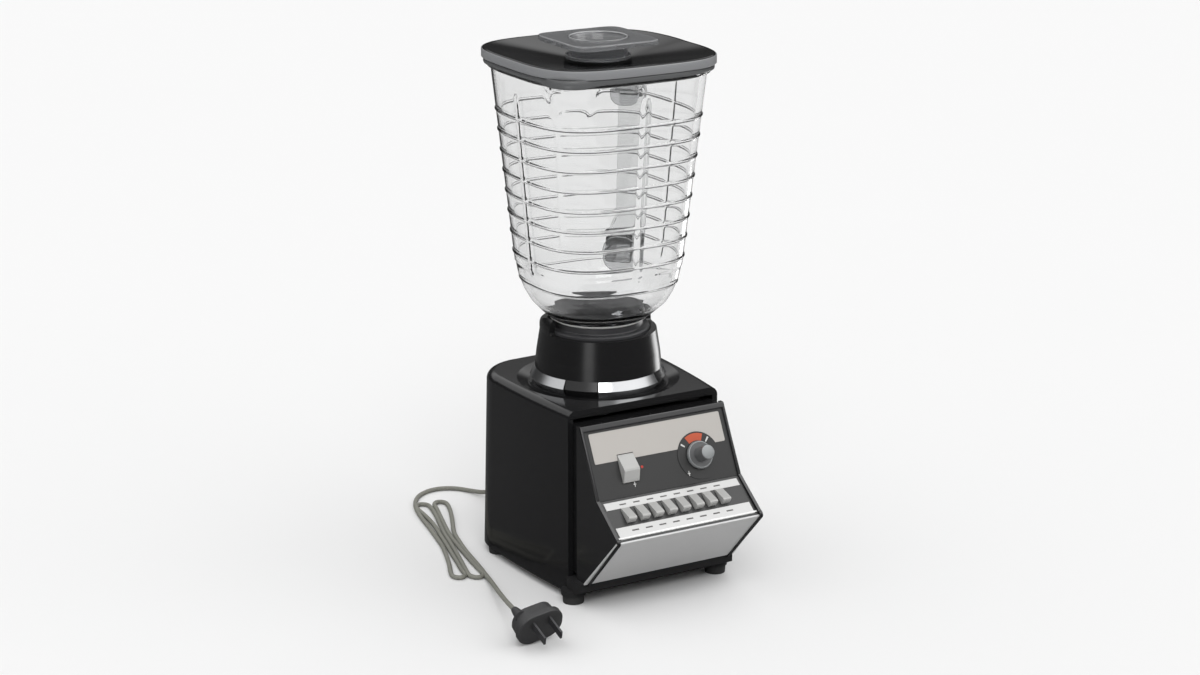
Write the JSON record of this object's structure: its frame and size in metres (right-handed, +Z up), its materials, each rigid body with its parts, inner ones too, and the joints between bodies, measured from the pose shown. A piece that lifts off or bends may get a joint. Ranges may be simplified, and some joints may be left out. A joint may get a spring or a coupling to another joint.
{
  "type": "countertop blender",
  "caption": "Countertop blender with a square glass jar, lid with feeder cup, threaded blade base, and a motor base with sloped key console, dial, rocker and mains lead.",
  "frame": {"origin": "middle of the footprint, on the surface the feet rest on", "axes": "+Z up, -Y towards the key console, +X to the right when facing the console"},
  "size_m": [0.217, 0.3348, 0.3886],
  "materials": {
    "gloss_black": "polished moulded plastic",
    "matte_black": "fine grain moulded plastic",
    "grey_plastic": "satin moulded plastic",
    "chrome": "bright plated",
    "rubber": "soft matte",
    "cream_plastic": "satin printed film",
    "silver_plastic": "satin silver paint on plastic",
    "key_plastic": "satin light grey",
    "steel": "machined",
    "copper": "enamelled copper wire",
    "bronze": "plain",
    "carbon": "pressed carbon",
    "glass": "clear pressed glass",
    "smoked": "smoked clear plastic",
    "cord_grey": "grey-green sheath"
  },
  "bodies": {
    "base": {"motor_housing": "gloss_black", "base_pan": "matte_black", "rubber_feet": "rubber", "pan_screws": "steel", "jar_collar": "matte_black", "collar_trim": "chrome", "console_body": "gloss_black", "console_cheeks": "gloss_black", "face_plate": "matte_black", "title_panel": "cream_plastic", "dial_disc": "matte_black", "timer_body": "matte_black", "rocker_pin": "steel", "rocker_switch": "matte_black", "button_panel": "silver_plastic", "label_strips": "silver_plastic", "switch_block": "matte_black", "chin_plate": "silver_plastic", "upper_bracket": "steel", "lower_bracket": "steel", "motor_bushings": "bronze", "stator_core": "steel", "field_coils": "copper", "motor_bolts": "steel", "brush_holders": "matte_black", "carbon_brushes": "carbon", "strain_relief": "matte_black", "cord": "cord_grey", "cord_plug": "matte_black", "plug_blades": "bronze"},
    "rotor": {"motor_shaft": "steel", "armature_core": "steel", "armature_windings": "copper", "commutator": "copper", "cooling_fan": "matte_black", "drive_stud": "steel"},
    "jar": {"glass_jar": "glass", "jar_handle": "glass"},
    "screw_base": {"jar_nut": "grey_plastic", "jar_gasket": "rubber", "blade_base": "steel", "blade_bushing": "bronze"},
    "cutter": {"blade_shaft": "steel", "blades": "steel", "blade_cap_nut": "steel", "drive_socket": "steel"},
    "lid": {"lid": "gloss_black", "lid_gasket": "rubber"},
    "feeder": {"feeder_cap": "smoked"},
    "dial": {"knob": "grey_plastic", "knob_shaft": "grey_plastic"},
    "power_rocker": {"rocker": "silver_plastic"},
    "button_1": {"key_1": "key_plastic"},
    "button_2": {"key_2": "key_plastic"},
    "button_3": {"key_3": "key_plastic"},
    "button_4": {"key_4": "key_plastic"},
    "button_5": {"key_5": "key_plastic"},
    "button_6": {"key_6": "key_plastic"},
    "button_7": {"key_7": "key_plastic"},
    "button_8": {"key_8": "key_plastic"}
  },
  "joints": [
    {"name": "motor_spin", "type": "hinge", "parent": "base", "child": "rotor", "pos_m": [-0.00385, 0.02426, 0.08], "axis": [0, 0, 1], "continuous": true},
    {"name": "jar_lift", "type": "slide", "parent": "base", "child": "jar", "axis": [0, 0, 1], "range_m": [0, 0.06]},
    {"name": "base_unscrew", "type": "hinge", "parent": "jar", "child": "screw_base", "pos_m": [-0.00385, 0.02426, 0.17], "axis": [0, 0, 1], "range_deg": [0, 90]},
    {"name": "blade_spin", "type": "hinge", "parent": "jar", "child": "cutter", "pos_m": [-0.00385, 0.02426, 0.175], "axis": [0, 0, 1], "continuous": true},
    {"name": "lid_lift", "type": "slide", "parent": "jar", "child": "lid", "axis": [0, 0, 1], "range_m": [0, 0.05]},
    {"name": "feeder_lift", "type": "slide", "parent": "lid", "child": "feeder", "axis": [0, 0, 1], "range_m": [0, 0.04]},
    {"name": "dial_turn", "type": "hinge", "parent": "base", "child": "dial", "pos_m": [0.02555, -0.06667, 0.10114], "axis": [0, -0.8944, 0.4472], "range_deg": [-65, 65]},
    {"name": "rocker_tilt", "type": "hinge", "parent": "base", "child": "power_rocker", "pos_m": [-0.03235, -0.06376, 0.10025], "axis": [1, 0, 0], "range_deg": [-6, 6]},
    {"name": "button_1_press", "type": "slide", "parent": "base", "child": "button_1", "axis": [0, 0.5956, -0.8033], "range_m": [0, 0.0035], "stiffness_N_per_m": 60},
    {"name": "button_2_press", "type": "slide", "parent": "base", "child": "button_2", "axis": [0, 0.5956, -0.8033], "range_m": [0, 0.0035], "stiffness_N_per_m": 60},
    {"name": "button_3_press", "type": "slide", "parent": "base", "child": "button_3", "axis": [0, 0.5956, -0.8033], "range_m": [0, 0.0035], "stiffness_N_per_m": 60},
    {"name": "button_4_press", "type": "slide", "parent": "base", "child": "button_4", "axis": [0, 0.5956, -0.8033], "range_m": [0, 0.0035], "stiffness_N_per_m": 60},
    {"name": "button_5_press", "type": "slide", "parent": "base", "child": "button_5", "axis": [0, 0.5956, -0.8033], "range_m": [0, 0.0035], "stiffness_N_per_m": 60},
    {"name": "button_6_press", "type": "slide", "parent": "base", "child": "button_6", "axis": [0, 0.5956, -0.8033], "range_m": [0, 0.0035], "stiffness_N_per_m": 60},
    {"name": "button_7_press", "type": "slide", "parent": "base", "child": "button_7", "axis": [0, 0.5956, -0.8033], "range_m": [0, 0.0035], "stiffness_N_per_m": 60},
    {"name": "button_8_press", "type": "slide", "parent": "base", "child": "button_8", "axis": [0, 0.5956, -0.8033], "range_m": [0, 0.0035], "stiffness_N_per_m": 60}
  ],
  "couplings": [
    {"joint": "blade_spin", "follows": "motor_spin", "ratio": 1}
  ]
}
